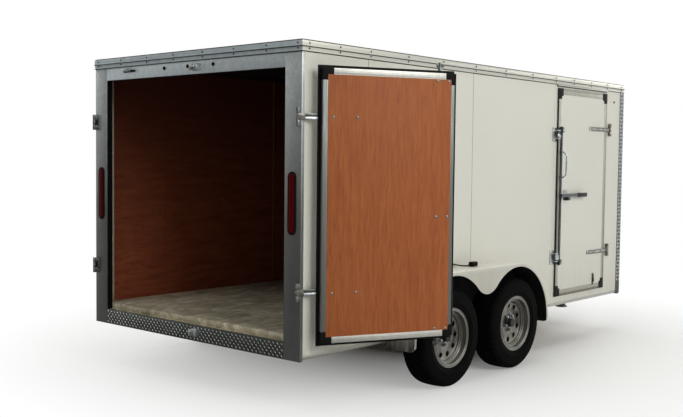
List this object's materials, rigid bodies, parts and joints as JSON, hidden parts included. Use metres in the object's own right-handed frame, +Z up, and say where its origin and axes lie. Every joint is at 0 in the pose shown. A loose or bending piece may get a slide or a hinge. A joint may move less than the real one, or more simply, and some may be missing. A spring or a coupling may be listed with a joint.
{
  "type": "tandem axle enclosed trailer",
  "caption": "White enclosed cargo trailer on tandem axles, rear doors standing open, side door shut, tongue with coupler and jack.",
  "frame": {"origin": "on the ground under the middle of the trailer's overall box", "axes": "+X towards the coupler, +Y to the trailer's left, +Z up"},
  "size_m": [5.636, 3.1316, 2.299],
  "materials": {
    "white_skin": "gloss white",
    "galvanised_steel": "satin",
    "mill_aluminium": "satin",
    "tread_plate": "bright",
    "black_steel": "semi-gloss black",
    "zinc_steel": "satin",
    "plywood": "bare",
    "deck_board": "bare",
    "black_rubber": "matte",
    "tyre_rubber": "matte",
    "silver_wheel": "satin silver",
    "red_lens": "gloss",
    "black_plastic": "matte"
  },
  "bodies": {
    "trailer": {"chassis_side_rails": "black_steel", "chassis_crossmembers": "black_steel", "deck": "deck_board", "tongue_rails": "black_steel", "coupler": "zinc_steel", "jack_plate": "black_steel", "jack_tube": "zinc_steel", "jack_leg": "black_steel", "axle_rear": "black_steel", "axle_front": "black_steel", "rear_posts": "galvanised_steel", "rear_header": "galvanised_steel", "rear_sill": "tread_plate", "doorway_seal": "black_rubber", "wall_left": "white_skin", "wall_right": "white_skin", "wall_doorway": "white_skin", "lining": "plywood", "lining_doorway": "plywood", "front_wall": "white_skin", "bottom_rails": "mill_aluminium", "roof_rails": "mill_aluminium", "roof": "mill_aluminium", "tread_guards": "tread_plate", "fenders": "white_skin", "fender_lamps": "red_lens", "tail_lamp_bezels": "black_rubber", "tail_lamp_lenses": "red_lens", "marker_lamps": "red_lens", "hinge_butts": "zinc_steel", "lock_keepers": "zinc_steel"},
    "rear_door_right": {"rear_door_right_panel": "white_skin", "rear_door_right_frame": "mill_aluminium", "rear_door_right_seal": "black_rubber", "rear_door_right_straps": "zinc_steel", "rear_door_right_bar_lock": "zinc_steel", "rear_door_right_grip": "black_plastic"},
    "rear_door_left": {"rear_door_left_panel": "white_skin", "rear_door_left_frame": "mill_aluminium", "rear_door_left_seal": "black_rubber", "rear_door_left_straps": "zinc_steel"},
    "side_door": {"side_door_panel": "white_skin", "side_door_frame": "mill_aluminium", "side_door_seal": "black_rubber", "side_door_straps": "zinc_steel", "side_door_bar_lock": "zinc_steel", "side_door_grip": "black_plastic", "side_door_fittings": "zinc_steel"},
    "wheel_rear_right": {"tyre_rear_right": "tyre_rubber", "rim_rear_right": "silver_wheel", "hub_rear_right": "black_steel"},
    "wheel_rear_left": {"tyre_rear_left": "tyre_rubber", "rim_rear_left": "silver_wheel", "hub_rear_left": "black_steel"},
    "wheel_front_right": {"tyre_front_right": "tyre_rubber", "rim_front_right": "silver_wheel", "hub_front_right": "black_steel"},
    "wheel_front_left": {"tyre_front_left": "tyre_rubber", "rim_front_left": "silver_wheel", "hub_front_left": "black_steel"}
  },
  "joints": [
    {"name": "rear_door_right_hinge", "type": "hinge", "parent": "trailer", "child": "rear_door_right", "pos_m": [-2.796, -1.056, 1.3], "axis": [0, 0, 1], "range_deg": [-243.78, 0]},
    {"name": "rear_door_left_hinge", "type": "hinge", "parent": "trailer", "child": "rear_door_left", "pos_m": [-2.796, 1.056, 1.3], "axis": [0, 0, -1], "range_deg": [-243.78, 0]},
    {"name": "side_door_hinge", "type": "hinge", "parent": "trailer", "child": "side_door", "pos_m": [1.279, -1.089, 1.321], "axis": [0, 0, 1], "range_deg": [0, 165]},
    {"name": "wheel_rear_right_spin", "type": "hinge", "parent": "trailer", "child": "wheel_rear_right", "pos_m": [-1.471, -1.19, 0.345], "axis": [0, 1, 0], "continuous": true},
    {"name": "wheel_rear_left_spin", "type": "hinge", "parent": "trailer", "child": "wheel_rear_left", "pos_m": [-1.471, 1.19, 0.345], "axis": [0, 1, 0], "continuous": true},
    {"name": "wheel_front_right_spin", "type": "hinge", "parent": "trailer", "child": "wheel_front_right", "pos_m": [-0.627, -1.19, 0.345], "axis": [0, 1, 0], "continuous": true},
    {"name": "wheel_front_left_spin", "type": "hinge", "parent": "trailer", "child": "wheel_front_left", "pos_m": [-0.627, 1.19, 0.345], "axis": [0, 1, 0], "continuous": true}
  ]
}
